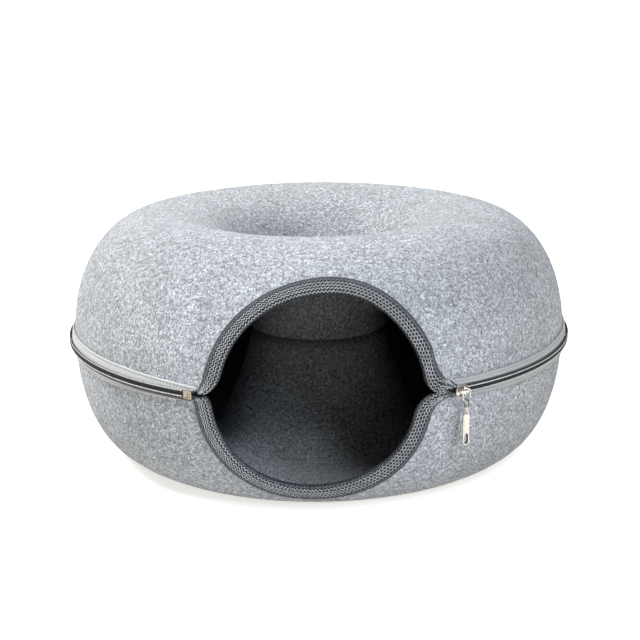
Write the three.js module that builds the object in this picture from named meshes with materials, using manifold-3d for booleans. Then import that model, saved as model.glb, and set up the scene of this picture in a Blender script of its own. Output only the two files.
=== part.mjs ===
// Donut cat tunnel: two moulded felt halves joined round the outside by a zip, with one round
// entrance bound in braid and an open hole down the middle. Millimetres, +Z up, floor at z = 0,
// entrance towards -Y.
//
// A place on the felt has three numbers: `along` runs round the zip line from the middle of the
// entrance, towards +X; `rise` runs over the felt from the zip line, positive over the upper half
// and negative under the lower half, both to the waist of the hole; `height` stands off the face.

import * as THREE from 'three';
import { mergeVertices } from 'three/addons/utils/BufferGeometryUtils.js';
import Module from 'manifold-3d';

const wasm = await Module();
wasm.setup();

// Felt ring
const feltRadius = 245;
const feltThickness = 4;
const ringHeight = 232;
const crownRadius = 162;
const zipLevel = 113.5;
const waistRadius = 63;
const waistLevel = 114.5;
const floorOuterRadius = 179;
const floorInnerRadius = 105;
const floorFillet = 10;
const coneCurve = 1.4;
const ringCentreY = -9.2;
const outerRoundness = { upper: 2.1, lower: 2.3 };
const funnelRoundness = 2.47;
const unevenBy = 0.8;

// Gaps and seats between pieces
const pieceGap = 0.3;
const zipOpening = 3;
const ridgeHeight = 2;
const ridgeWidth = 8;

// Braid round the entrance
const braidSeat = 0.4;
const braidThickness = 1.2;
const braidWidth = 13;
const braidInnerWidth = 11.5;
const braidWrap = 3;
const innerLegGap = 1.1;
const feltSetBack = 1.8;

// Zip
const tapeSeat = 0.6;
const tapeThickness = 1;
const tapeInner = 0.4;
const tapeOuter = 11.8;
const coilWidth = 3;
const coilHeight = 2;
const coilOffset = 1.7;
const coilStart = 126;
const sliderAlong = 122.8;
const sliderLength = 13;
const sliderHalfWidth = 4.9;
const sliderCorner = 4;
const plateThickness = 1.6;
const flange = { thickness: 1, shorterBy: 5, lift: 0.2 };
const backPlate = { thickness: 1.2, top: -0.15, from: -1.2, to: 6, narrowerBy: 0.8 };
const post = { length: 1.4, width: 0.9, middle: -0.5 };
const bridgeHalfWidth = 1.1;
const bridgeInnerHeight = 2;
const bridgeWire = 1.2;
const bridgeCorner = 1.3;
const bridgeFootX = -3.9;
const bridgeLegX = 3.35;
const stopAlong = -112.1;
const stopLength = 8;
const stopWidth = 7.4;
const stopHeight = 2.2;

// Pull
const pullRing = { width: 8.6, height: 12.7, wire: 1.2 };
const pullLink = { width: 4.8, height: 8.2, wire: 1 };
const upperLinkTurn = -56;
const lowerLinkTurn = 74;
const barWidth = 6.4;
const barLength = 27.3;
const barThickness = 1.4;
const lugWidth = 4.2;
const lugHeight = 3.6;
const lugCorner = 1.4;
const shoulderCorner = 0.5;
const eyeRadius = 1.2;
const lugStrip = 1;
const slotWidth = 4.2;
const slotLength = 9.6;
const hangGap = 0.65;

// Facets: round the felt, over the bend under the zip and over the side, and along the bends, the
// arc and the run of the entrance's lines
const feltSides = 48;
const zipCrease = 10;
const sideCrease = 104;
const entranceSteps = [6, 20, 6, 2];

const circumference = 2 * Math.PI * feltRadius;
const tapeTop = tapeSeat + tapeThickness;
const coilBase = tapeTop + pieceGap;
const plateBase = coilBase + coilHeight + pieceGap;
const plateTop = plateBase + plateThickness;

// One superelliptic quarter of the ring's section, from an upright start to a level end
class Quarter extends THREE.Curve {
  constructor(upright, level, roundness, reversed = false) {
    super();
    this.upright = upright;
    this.level = level;
    this.power = 2 / roundness;
    this.reversed = reversed;
  }

  getPoint(t) {
    const angle = (this.reversed ? 1 - t : t) * Math.PI / 2;
    const outward = Math.max(Math.cos(angle), 0) ** this.power;
    const upward = Math.sin(angle) ** this.power;
    return new THREE.Vector2(
      this.level.x + (this.upright.x - this.level.x) * outward,
      this.upright.y + (this.level.y - this.upright.y) * upward,
    );
  }
}

// The lower half's wall in the hole, from the fillet at the floor up to the waist
class Cone extends THREE.Curve {
  getPoint(t) {
    const level = THREE.MathUtils.lerp(floorFillet, waistLevel, t);
    const flare = (1 - level / waistLevel) ** coneCurve;
    return new THREE.Vector2(waistRadius + (floorInnerRadius - waistRadius) * flare, level);
  }
}

// An arc of the entrance, in (along, rise), with one soft swell or dip on it
class EntranceArc extends THREE.Curve {
  constructor({ centre, radius, from, to, swell, swellAt, swellSpread }) {
    super();
    Object.assign(this, { centre, radius, from, to, swell, swellAt, swellSpread });
  }

  getPoint(t) {
    const degrees = THREE.MathUtils.lerp(this.from, this.to, t);
    const offset = (degrees - this.swellAt) / this.swellSpread;
    const radius = this.radius + this.swell * Math.exp(-offset * offset);
    const angle = THREE.MathUtils.degToRad(degrees);
    return new THREE.Vector2(this.centre + radius * Math.cos(angle), radius * Math.sin(angle));
  }
}

function joinCurves(curves) {
  const path = new THREE.CurvePath();
  curves.forEach((curve) => path.add(curve));
  return path;
}

function quadratic(from, control, to) {
  return new THREE.QuadraticBezierCurve(from, control, to);
}

function upperSection() {
  const zipLine = new THREE.Vector2(feltRadius, zipLevel);
  const waist = new THREE.Vector2(waistRadius, waistLevel);
  const crown = new THREE.Vector2(crownRadius, ringHeight);
  return joinCurves([
    new Quarter(zipLine, crown, outerRoundness.upper),
    new Quarter(waist, crown, funnelRoundness, true),
  ]);
}

function lowerSection() {
  const zipLine = new THREE.Vector2(feltRadius, zipLevel);
  const floorOuter = new THREE.Vector2(floorOuterRadius, 0);
  const floorInner = new THREE.Vector2(floorInnerRadius + floorFillet, 0);
  const cone = new Cone();
  return joinCurves([
    new Quarter(zipLine, floorOuter, outerRoundness.lower),
    new THREE.LineCurve(floorOuter, floorInner),
    quadratic(floorInner, new THREE.Vector2(floorInnerRadius, 0), cone.getPoint(0)),
    cone,
  ]);
}

const upper = upperSection();
const lower = lowerSection();

// The felt stands up in a soft ridge under the zip
function zipRidge(rise) {
  return ridgeHeight * Math.exp(-((rise / ridgeWidth) ** 2));
}

// Hand-moulded felt is never quite true; it is flat where it stands on the floor
function unevenness(azimuth, level) {
  const wave = Math.sin(2 * azimuth + 0.7) + 0.6 * Math.sin(3 * azimuth + level / 45)
    + 0.4 * Math.sin(5 * azimuth - level / 30);
  return 0.5 * unevenBy * wave * THREE.MathUtils.smoothstep(level, 8, 60);
}

function feltPoint(along, rise, height) {
  const section = rise >= 0 ? upper : lower;
  const side = rise >= 0 ? 1 : -1;
  const t = Math.min(Math.abs(rise) / section.getLength(), 1);
  const place = section.getPoint(t);
  const tangent = section.getTangent(t);
  const azimuth = along / feltRadius;
  const lift = height + zipRidge(rise) + unevenness(azimuth, place.y);
  const radius = place.x + side * tangent.y * lift;
  const level = place.y - side * tangent.x * lift;
  return new THREE.Vector3(
    radius * Math.sin(azimuth),
    ringCentreY - radius * Math.cos(azimuth),
    level,
  );
}

// Moves every corner of a straight shape to its place, and joins the corners that meet there
function bend(geometry, place) {
  const positions = geometry.getAttribute('position');
  for (let i = 0; i < positions.count; i += 1) {
    const point = place(positions.getX(i), positions.getY(i), positions.getZ(i));
    positions.setXYZ(i, point.x, point.y, point.z);
  }
  return weld(geometry);
}

function weld(geometry) {
  geometry.deleteAttribute('normal');
  geometry.deleteAttribute('uv');
  const welded = mergeVertices(geometry, 1e-4);
  welded.computeVertexNormals();
  return welded;
}

function toSolid(geometry) {
  const mesh = new wasm.Mesh({
    numProp: 3,
    vertProperties: new Float32Array(geometry.getAttribute('position').array),
    triVerts: new Uint32Array(geometry.getIndex().array),
  });
  return new wasm.Manifold(mesh);
}

function fromSolid(solid) {
  const { vertProperties, triVerts } = solid.getMesh();
  const geometry = new THREE.BufferGeometry();
  geometry.setAttribute('position', new THREE.BufferAttribute(vertProperties, 3));
  geometry.setIndex(new THREE.BufferAttribute(triVerts, 1));
  geometry.computeVertexNormals();
  return geometry;
}

// Rises at which a felt half is creased into facets, from a table of stretches
function facetRises(start, stretches) {
  const rises = [start];
  stretches.forEach(({ to, steps }) => {
    const from = rises.at(-1);
    for (let i = 1; i <= steps; i += 1) {
      rises.push(THREE.MathUtils.lerp(from, to, i / steps));
    }
  });
  return rises;
}

// A felt half is turned as a straight sleeve of its own length, then bent over the ring
function feltHalf(rises) {
  const sleeveRadius = 2 * feltThickness;
  const outside = rises.map((rise) => new THREE.Vector2(sleeveRadius, rise));
  const inside = rises.map((rise) => new THREE.Vector2(sleeveRadius - feltThickness, rise)).reverse();
  const sleeve = new THREE.LatheGeometry([...outside, ...inside, outside[0]], feltSides);
  return bend(sleeve, (x, y, z) => {
    const along = Math.atan2(x, z) * feltRadius;
    return feltPoint(along, y, Math.hypot(x, z) - sleeveRadius);
  });
}

function upperRises() {
  const crownRise = upper.curves[0].getLength();
  return facetRises(zipOpening, [
    { to: zipCrease, steps: 1 },
    { to: sideCrease, steps: 5 },
    { to: crownRise, steps: 2 },
    { to: upper.getLength() - pieceGap / 2, steps: 6 },
  ]);
}

function lowerRises() {
  const [floorStart, floorEnd, coneStart] = lower.getCurveLengths();
  const depths = facetRises(zipOpening, [
    { to: zipCrease, steps: 1 },
    { to: sideCrease, steps: 5 },
    { to: floorStart, steps: 2 },
    { to: floorEnd, steps: 1 },
    { to: coneStart, steps: 2 },
    { to: lower.getLength() - pieceGap / 2, steps: 5 },
  ]);
  return depths.map((depth) => -depth).reverse();
}

// A line of the entrance from its left end to its right end. The arc is the round opening; the
// bends lead it into the corners at the zip line, where a run goes on beside the zip.
function entranceLine({ start, startBend, arc, endBend, end, runTo }) {
  const round = new EntranceArc(arc);
  const corner = new THREE.Vector2(...end);
  const curves = [
    quadratic(new THREE.Vector2(...start), new THREE.Vector2(...startBend), round.getPoint(0)),
    round,
    quadratic(round.getPoint(1), new THREE.Vector2(...endBend), corner),
  ];
  if (runTo) {
    curves.push(new THREE.LineCurve(corner, new THREE.Vector2(...runTo)));
  }
  return joinCurves(curves);
}

// The halves zip up a little out of line, so each arc has its own centre
const upperEntrance = {
  fold: entranceLine({
    start: [-100, 0.6],
    startBend: [-88.7, 4.5],
    arc: { centre: 3, radius: 90.3, from: 166, to: 10, swell: 3.5, swellAt: 66, swellSpread: 24 },
    endBend: [93.9, 3.2],
    end: [102, 0.6],
    runTo: [117.5, 0.6],
  }),
  hem: entranceLine({
    start: [-104.5, 0.6],
    startBend: [-99.7, 14.4],
    arc: { centre: 3, radius: 103, from: 165.5, to: 21.5, swell: 4, swellAt: 68, swellSpread: 28 },
    endBend: [101, 14],
    end: [121, 2.6],
  }),
};

const lowerEntrance = {
  fold: entranceLine({
    start: [-101, -0.6],
    startBend: [-95.4, -3.1],
    arc: { centre: -5, radius: 90.8, from: -172.3, to: -13.2, swell: -2.5, swellAt: -62, swellSpread: 28 },
    endBend: [86.3, -4.4],
    end: [102, -0.6],
    runTo: [117, -0.6],
  }),
  hem: entranceLine({
    start: [-108.5, -0.6],
    startBend: [-108.1, -13.5],
    arc: { centre: -5, radius: 103.5, from: -164.8, to: -12.3, swell: 2, swellAt: -100, swellSpread: 40 },
    endBend: [99, -8],
    end: [120, -2.6],
  }),
};

// A place on the braid, `inset` from its fold towards its hem; the braid narrows at its ends
function acrossBraid(entrance, t, inset) {
  const fold = entrance.fold.getPoint(t);
  const hem = entrance.hem.getPoint(t);
  const width = fold.distanceTo(hem);
  const squeeze = (width - braidWrap) / (braidWidth - braidWrap);
  const wrapped = Math.min(inset, braidWrap);
  return fold.lerp(hem, (wrapped + (inset - wrapped) * squeeze) / width);
}

// Section of the braid folded over the felt's edge: x is the inset, y the height
function braidSection() {
  const outerFace = braidSeat + braidThickness;
  const innerFace = -feltThickness - innerLegGap;
  const innermost = innerFace - braidThickness;
  const section = new THREE.Shape();
  section.moveTo(braidWidth, braidSeat);
  section.lineTo(braidWidth, outerFace);
  section.lineTo(braidWidth / 2, outerFace);
  section.lineTo(braidThickness, outerFace);
  section.quadraticCurveTo(0, outerFace, 0, 0);
  section.lineTo(0, innerFace);
  section.quadraticCurveTo(0, innermost, braidThickness, innermost);
  section.lineTo(braidInnerWidth, innermost);
  section.lineTo(braidInnerWidth, innerFace);
  section.lineTo(braidThickness, innerFace);
  section.lineTo(braidThickness, braidSeat);
  section.lineTo(braidWidth / 2, braidSeat);
  section.closePath();
  return section;
}

// Stations along the fold from the left end to the right, as parts of its length
function entranceStations(fold) {
  const lengths = fold.getCurveLengths();
  const stretches = lengths.map((to, i) => ({ to, steps: entranceSteps[i] }));
  return facetRises(0, stretches).map((length) => length / lengths.at(-1));
}

function binding(entrance, direction) {
  const stations = entranceStations(entrance.fold);
  const steps = stations.length - 1;
  const straight = new THREE.ExtrudeGeometry(braidSection(), {
    depth: 1,
    steps,
    bevelEnabled: false,
    curveSegments: 2,
  });
  return bend(straight, (x, y, z) => {
    const t = stations[Math.round((direction > 0 ? z : 1 - z) * steps)];
    const place = acrossBraid(entrance, t, x);
    return feltPoint(place.x, place.y, y);
  });
}

// A plug of one half of the entrance, bent like the felt, that the felt is cut with. It stands
// out on both sides of the felt and runs on past the zip line.
function entrancePlug(entrance, direction) {
  const standOut = 25;
  const closing = -12 * direction;
  const middle = new THREE.Vector2(0, 20 * direction);
  const stations = entranceStations(entrance.fold).slice(0, -entranceSteps.at(-1));
  const outline = stations.map((t) => acrossBraid(entrance, t, feltSetBack));
  if (direction > 0) {
    outline.reverse();
  }
  const [first, last] = [outline[0], outline.at(-1)];
  outline.push(new THREE.Vector2(last.x, closing), new THREE.Vector2(first.x, closing));
  const plug = new THREE.CylinderGeometry(1, 1, 2 * standOut, outline.length, 1);
  return bend(plug, (x, y, z) => {
    const turn = Math.atan2(x, z) / (2 * Math.PI);
    const index = (Math.round(turn * outline.length) + outline.length) % outline.length;
    const place = middle.clone().lerp(outline[index], Math.hypot(x, z));
    return feltPoint(place.x, place.y, y);
  });
}

function cutFelt(rises, entrance, direction) {
  const felt = toSolid(feltHalf(rises));
  const plug = toSolid(entrancePlug(entrance, direction));
  return fromSolid(felt.subtract(plug));
}

// Stations of a zip strip: its two ends, and between them the felt's own creases that are clear
// of the ends
function zipStations({ right, left }) {
  const facet = circumference / feltSides;
  const clearance = 1;
  const end = circumference + left;
  const stations = [right];
  for (let i = Math.ceil((right + clearance) / facet); i * facet < end - clearance; i += 1) {
    stations.push(i * facet);
  }
  stations.push(end);
  return stations;
}

// Height of a line of [distance, height] corners at a distance
function lineAt(corners, distance) {
  for (let i = 1; i < corners.length; i += 1) {
    const [start, low] = corners[i - 1];
    const [end, high] = corners[i];
    if (distance < end) return low + (high - low) * (distance - start) / (end - start);
  }
  return corners.at(-1)[1];
}

// A strip of the zip: x of its section is the rise, y the height. It runs round the back from
// the entrance's right corner to its left one. Its ends may be cut on the slant, and its outer
// edge may come in towards them.
function zipStrip(section, ends, edges = null) {
  const stations = zipStations(ends);
  const steps = stations.length - 1;
  const straight = new THREE.ExtrudeGeometry(section, {
    depth: 1,
    steps,
    bevelEnabled: false,
    curveSegments: 4,
  });
  const slants = new Map([[0, ends.rightSlant], [steps, ends.leftSlant]]);
  return bend(straight, (x, y, z) => {
    const step = Math.round(z * steps);
    const outer = edges === null ? tapeOuter : Math.min(
      lineAt(edges.right, stations[step] - stations[0]),
      lineAt(edges.left, stations[steps] - stations[step]),
    );
    const beyond = Math.max(Math.abs(x) - zipOpening, 0);
    const narrowed = beyond * (1 - (outer - zipOpening) / (tapeOuter - zipOpening));
    const rise = Math.abs(x) - narrowed;
    const slant = (slants.get(step) ?? 0) * (rise - tapeInner) / (tapeOuter - tapeInner);
    return feltPoint(stations[step] + slant, Math.sign(x) * rise, y);
  });
}

function tapeSection(direction) {
  const rises = [tapeInner, zipOpening, zipCrease, tapeOuter].map((rise) => rise * direction);
  const under = rises.map((rise) => new THREE.Vector2(rise, tapeSeat));
  const over = rises.map((rise) => new THREE.Vector2(rise, tapeTop)).reverse();
  return new THREE.Shape([...under, ...over]);
}

function coilSection(direction) {
  const section = new THREE.Shape();
  const middle = coilBase + coilHeight / 2;
  section.absellipse(coilOffset * direction, middle, coilWidth / 2, coilHeight / 2, 0, 2 * Math.PI);
  return section;
}

const tapeEnds = {
  upper: { right: 125.2, rightSlant: -13.7, left: -109, leftSlant: 9 },
  lower: { right: 125.2, rightSlant: -20.2, left: -110.5, leftSlant: 0 },
};
// How far from the zip line each tape's outer edge is, by the distance from the tape's end
const tapeEdges = {
  upper: {
    right: [[0, 9.2], [80, 9.4], [130, 11.2], [180, tapeOuter]],
    left: [[0, 6.4], [35, 9.2], [90, tapeOuter]],
  },
  lower: {
    right: [[0, 6.4], [40, 7.6], [80, 9.4], [130, 10.8], [180, tapeOuter]],
    left: [[0, 6.2], [35, 7.6], [90, 10.6], [150, tapeOuter]],
  },
};
const coilEnds = {
  right: coilStart,
  rightSlant: 0,
  left: stopAlong - stopLength / 2 - pieceGap,
  leftSlant: 0,
};

function extrudeFlat(shape, thickness, edge) {
  return new THREE.ExtrudeGeometry(shape, {
    depth: thickness - 2 * edge,
    bevelEnabled: edge > 0,
    bevelThickness: edge,
    bevelSize: edge,
    bevelOffset: -edge,
    bevelSegments: 1,
    curveSegments: 4,
  }).translate(0, 0, edge);
}

function roundedRectangle(left, bottom, width, height, corner) {
  const [right, top] = [left + width, bottom + height];
  const shape = new THREE.Shape();
  shape.moveTo(left + corner, bottom);
  shape.lineTo(right - corner, bottom);
  shape.quadraticCurveTo(right, bottom, right, bottom + corner);
  shape.lineTo(right, top - corner);
  shape.quadraticCurveTo(right, top, right - corner, top);
  shape.lineTo(left + corner, top);
  shape.quadraticCurveTo(left, top, left, top - corner);
  shape.lineTo(left, bottom + corner);
  shape.quadraticCurveTo(left, bottom, left + corner, bottom);
  return shape;
}

// The slider in its own frame: x along the zip away from the entrance, y up, z off the felt. Its
// pieces run `sink` into each other before they are joined.
function sliderBody() {
  const half = sliderLength / 2;
  const sink = 0.2;
  const plate = extrudeFlat(
    roundedRectangle(-half, -sliderHalfWidth, sliderLength, 2 * sliderHalfWidth, sliderCorner),
    plateThickness,
    0.3,
  ).translate(0, 0, plateBase);
  const flangeLength = sliderLength - flange.shorterBy;
  const flangeHeight = plateBase + sink - coilBase - flange.lift;
  const flangeY = sliderHalfWidth - flange.thickness + sink;
  const flanges = [flangeY, -flangeY].map((y) => (
    new THREE.BoxGeometry(flangeLength, flange.thickness, flangeHeight)
      .translate(0, y, coilBase + flange.lift + flangeHeight / 2)
  ));
  const back = new THREE.BoxGeometry(
    backPlate.to - backPlate.from,
    2 * zipOpening - backPlate.narrowerBy,
    backPlate.thickness,
  ).translate((backPlate.from + backPlate.to) / 2, 0, backPlate.top - backPlate.thickness / 2);
  const postHeight = plateBase - backPlate.top + 2 * sink;
  const backPost = new THREE.BoxGeometry(post.length, post.width, postHeight)
    .translate(post.middle, 0, backPlate.top - sink + postHeight / 2);
  const [first, ...others] = [plate, ...flanges, back, backPost, sliderBridge(sink)]
    .map((geometry) => toSolid(weld(geometry)));
  return fromSolid(others.reduce((whole, solid) => whole.add(solid), first));
}

// The arch on the slider that the pull hangs from
function sliderBridge(sink) {
  const right = bridgeLegX + bridgeWire / 2;
  const top = bridgeInnerHeight + bridgeWire;
  const arch = new THREE.Shape();
  arch.moveTo(bridgeFootX, -sink);
  arch.lineTo(bridgeFootX, top - bridgeCorner);
  arch.quadraticCurveTo(bridgeFootX, top, bridgeFootX + bridgeCorner, top);
  arch.lineTo(right - bridgeCorner, top);
  arch.quadraticCurveTo(right, top, right, top - bridgeCorner);
  arch.lineTo(right, -sink);
  arch.lineTo(right - bridgeWire, -sink);
  arch.lineTo(right - bridgeWire, bridgeInnerHeight);
  arch.lineTo(bridgeFootX + bridgeWire, bridgeInnerHeight);
  arch.lineTo(bridgeFootX + bridgeWire, -sink);
  arch.closePath();
  return extrudeFlat(arch, 2 * bridgeHalfWidth, 0)
    .rotateX(Math.PI / 2)
    .translate(0, bridgeHalfWidth, plateTop);
}

// A ring or link of round wire, upright, with straight sides
function wireLoop({ width, height, wire }, sides) {
  const loop = new THREE.TorusGeometry((width - wire) / 2, wire / 2, 6, sides);
  const stretch = (height - width) / 2;
  return bend(loop, (x, y, z) => {
    const side = Math.abs(y) < 1e-6 ? 0 : Math.sign(y);
    return new THREE.Vector3(x, y + side * stretch, z);
  });
}

function barShape() {
  const half = barWidth / 2;
  const lug = lugWidth / 2;
  const foot = -lugHeight - barLength;
  const outline = new THREE.Shape();
  outline.moveTo(-lug, -lugHeight);
  outline.lineTo(-lug, -lugCorner);
  outline.quadraticCurveTo(-lug, 0, 0, 0);
  outline.quadraticCurveTo(lug, 0, lug, -lugCorner);
  outline.lineTo(lug, -lugHeight);
  outline.lineTo(half - shoulderCorner, -lugHeight);
  outline.lineTo(half, -lugHeight - shoulderCorner);
  outline.lineTo(half, foot + half);
  outline.quadraticCurveTo(half, foot, 0, foot);
  outline.quadraticCurveTo(-half, foot, -half, foot + half);
  outline.lineTo(-half, -lugHeight - shoulderCorner);
  outline.lineTo(-half + shoulderCorner, -lugHeight);
  outline.closePath();
  const eye = new THREE.Path();
  eye.absarc(0, -lugStrip - eyeRadius, eyeRadius, 0, 2 * Math.PI, false);
  const slotBottom = foot + (barWidth - slotWidth) / 2;
  const slot = new THREE.Path();
  slot.absarc(0, slotBottom + slotWidth / 2, slotWidth / 2, Math.PI, 2 * Math.PI, false);
  slot.absarc(0, slotBottom + slotLength - slotWidth / 2, slotWidth / 2, 0, Math.PI, false);
  slot.closePath();
  outline.holes.push(eye, slot);
  return outline;
}

// Heights at which the pull's pieces hang, each from the wire above it
function pullLevels() {
  const ringTop = bridgeHalfWidth + hangGap + pullRing.wire;
  const ringSeat = ringTop - pullRing.height + pullRing.wire;
  const linkTop = ringSeat + hangGap + pullLink.wire;
  const linkSeat = linkTop - pullLink.height + pullLink.wire;
  const lowerLinkTop = linkSeat + hangGap + pullLink.wire;
  const lowerLinkSeat = lowerLinkTop - pullLink.height + pullLink.wire;
  return {
    ring: ringTop - pullRing.height / 2,
    upperLink: linkTop - pullLink.height / 2,
    lowerLink: lowerLinkTop - pullLink.height / 2,
    barTop: lowerLinkSeat + hangGap + lugStrip,
  };
}

const materials = {
  felt: { color: 0xa7abb1, roughness: 0.95, metalness: 0 },
  braid: { color: 0x6c6f73, roughness: 0.85, metalness: 0 },
  tape: { color: 0xb4b7b8, roughness: 0.7, metalness: 0 },
  coil: { color: 0x24282a, roughness: 0.35, metalness: 0 },
  nickel: { color: 0xcfccc6, roughness: 0.25, metalness: 1 },
  brass: { color: 0xb59a6a, roughness: 0.35, metalness: 1 },
};

function addPiece(parent, name, geometry, material) {
  const mesh = new THREE.Mesh(geometry, new THREE.MeshStandardMaterial(materials[material]));
  mesh.name = name;
  parent.add(mesh);
  return mesh;
}

// A group standing on the zip line: its x runs along the zip, its y up and its z off the felt
function zipStand(along) {
  const stand = new THREE.Group();
  stand.position.copy(feltPoint(along, 0, 0));
  stand.rotation.set(Math.PI / 2, along / feltRadius, 0);
  return stand;
}

function addPull(stand) {
  const levels = pullLevels();
  const hangZ = plateTop + pieceGap + pullRing.wire / 2;
  const ring = addPiece(stand, 'pull_ring', wireLoop(pullRing, 16), 'nickel');
  ring.position.set(bridgeLegX, levels.ring, hangZ);
  const upperLink = addPiece(stand, 'pull_link_upper', wireLoop(pullLink, 12), 'nickel');
  upperLink.position.set(bridgeLegX, levels.upperLink, hangZ);
  upperLink.rotation.y = THREE.MathUtils.degToRad(upperLinkTurn);
  const lowerLink = addPiece(stand, 'pull_link_lower', wireLoop(pullLink, 12), 'nickel');
  lowerLink.position.set(bridgeLegX, levels.lowerLink, hangZ);
  lowerLink.rotation.y = THREE.MathUtils.degToRad(lowerLinkTurn);
  const bar = addPiece(stand, 'pull_bar', extrudeFlat(barShape(), barThickness, 0.2), 'nickel');
  bar.position.set(bridgeLegX, levels.barTop, hangZ - barThickness / 2);
}

const tunnel = new THREE.Group();
addPiece(tunnel, 'upper_shell', cutFelt(upperRises(), upperEntrance, 1), 'felt');
addPiece(tunnel, 'lower_shell', cutFelt(lowerRises(), lowerEntrance, -1), 'felt');
addPiece(tunnel, 'upper_binding', binding(upperEntrance, 1), 'braid');
addPiece(tunnel, 'lower_binding', binding(lowerEntrance, -1), 'braid');
addPiece(tunnel, 'upper_zip_tape', zipStrip(tapeSection(1), tapeEnds.upper, tapeEdges.upper), 'tape');
addPiece(tunnel, 'lower_zip_tape', zipStrip(tapeSection(-1), tapeEnds.lower, tapeEdges.lower), 'tape');
addPiece(tunnel, 'upper_zip_coil', zipStrip(coilSection(1), coilEnds), 'coil');
addPiece(tunnel, 'lower_zip_coil', zipStrip(coilSection(-1), coilEnds), 'coil');

const sliderStand = zipStand(sliderAlong);
addPiece(sliderStand, 'zip_slider', sliderBody(), 'nickel');
addPull(sliderStand);
tunnel.add(sliderStand);

const stopStand = zipStand(stopAlong);
const stopShape = roundedRectangle(-stopLength / 2, -stopWidth / 2, stopLength, stopWidth, 1);
const stopPlate = extrudeFlat(stopShape, stopHeight, 0.5).translate(0, 0, coilBase);
addPiece(stopStand, 'bottom_stop', stopPlate, 'brass');
tunnel.add(stopStand);

export default tunnel;
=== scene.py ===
import math

import bpy
import numpy as np
from mathutils import Matrix, Vector


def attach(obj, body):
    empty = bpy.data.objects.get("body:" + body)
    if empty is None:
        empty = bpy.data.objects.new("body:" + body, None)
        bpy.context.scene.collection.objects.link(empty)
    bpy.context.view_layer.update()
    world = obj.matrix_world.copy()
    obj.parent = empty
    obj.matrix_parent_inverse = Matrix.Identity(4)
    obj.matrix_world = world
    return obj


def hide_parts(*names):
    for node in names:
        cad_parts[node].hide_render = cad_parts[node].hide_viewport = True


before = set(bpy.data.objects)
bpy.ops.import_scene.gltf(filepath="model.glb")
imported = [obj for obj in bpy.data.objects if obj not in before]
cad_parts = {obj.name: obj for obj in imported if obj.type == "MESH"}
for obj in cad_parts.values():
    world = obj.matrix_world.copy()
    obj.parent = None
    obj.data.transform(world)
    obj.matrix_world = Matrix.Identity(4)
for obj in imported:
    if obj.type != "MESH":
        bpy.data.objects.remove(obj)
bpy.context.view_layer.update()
print("frame loaded")

# The moulded ring. A place on the felt has three numbers: along runs round the zip line from the
# middle of the entrance, rise runs over the felt from the zip line (up is positive), and height
# stands off the outer face. All are metres.
ring = {
    "feltRadius": 0.245,
    "feltThickness": 0.004,
    "ringHeight": 0.232,
    "crownRadius": 0.162,
    "zipLevel": 0.1135,
    "waistRadius": 0.063,
    "waistLevel": 0.1145,
    "floorOuterRadius": 0.179,
    "floorInnerRadius": 0.105,
    "floorFillet": 0.010,
    "coneCurve": 1.4,
    "centreY": -0.0092,
    "upperRoundness": 2.1,
    "lowerRoundness": 2.3,
    "funnelRoundness": 2.47,
    "unevenBy": 0.0008,
    "unevenFrom": 0.008,
    "unevenFade": 0.052,
    "ridgeHeight": 0.002,
    "ridgeWidth": 0.008,
    "zipOpening": 0.003,
    "waistGap": 0.00015,
}
halves = {"upper": 1, "lower": -1}  # each half, and the sign of its rise
circumference = 2 * math.pi * ring["feltRadius"]
# How many points each kind of curve has, and the metres from point to point in the tables
fineness = {
    "quarter": 1500, "arc": 800, "bend": 200, "turn": 24,
    "sectionStep": 0.0004, "entranceStep": 0.0001,
}


def quarterLine(upright, level, roundness):
    # A quarter of a superellipse, from where it stands upright to where it lies level
    angle = np.linspace(0, math.pi / 2, fineness["quarter"])
    outward = np.clip(np.cos(angle), 0, 1) ** (2 / roundness)
    upward = np.sin(angle) ** (2 / roundness)
    return np.column_stack([
        level[0] + (upright[0] - level[0]) * outward,
        upright[1] + (level[1] - upright[1]) * upward,
    ])


def quadraticLine(start, control, end):
    t = np.linspace(0, 1, fineness["bend"])[:, None]
    start, control, end = (np.array(point, float) for point in (start, control, end))
    return (1 - t) ** 2 * start + 2 * t * (1 - t) * control + t ** 2 * end


def lineTable(curves, step):
    # Joined curves in even steps: how far along each point is, the point, and the slope there
    points = np.vstack(curves)
    stretch = np.linalg.norm(np.diff(points, axis=0), axis=1)
    points = points[np.append(True, stretch > 1e-9)]
    gone = np.append(0, np.cumsum(np.linalg.norm(np.diff(points, axis=0), axis=1)))
    even = np.linspace(0, gone[-1], int(gone[-1] / step) + 2)
    points = np.column_stack([np.interp(even, gone, points[:, axis]) for axis in (0, 1)])
    slope = np.gradient(points, even, axis=0)
    slope /= np.linalg.norm(slope, axis=1)[:, None]
    return {"gone": even, "points": points, "slope": slope, "length": even[-1]}


def readTable(table, gone, what="points"):
    return [np.interp(gone, table["gone"], table[what][:, axis]) for axis in (0, 1)]


def bulge(distance, width):
    return np.exp(-((distance / width) ** 2))


def upperSection():
    zipLine = (ring["feltRadius"], ring["zipLevel"])
    crown = (ring["crownRadius"], ring["ringHeight"])
    waist = (ring["waistRadius"], ring["waistLevel"])
    return [
        quarterLine(zipLine, crown, ring["upperRoundness"]),
        quarterLine(waist, crown, ring["funnelRoundness"])[::-1],
    ]


def lowerSection():
    zipLine = (ring["feltRadius"], ring["zipLevel"])
    level = np.linspace(ring["floorFillet"], ring["waistLevel"], fineness["quarter"])
    flare = (1 - level / ring["waistLevel"]) ** ring["coneCurve"]
    spread = ring["floorInnerRadius"] - ring["waistRadius"]
    cone = np.column_stack([ring["waistRadius"] + spread * flare, level])
    floorInner = (ring["floorInnerRadius"] + ring["floorFillet"], 0)
    return [
        quarterLine(zipLine, (ring["floorOuterRadius"], 0), ring["lowerRoundness"]),
        quadraticLine(floorInner, (ring["floorInnerRadius"], 0), cone[0]),
        cone,
    ]


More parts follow.
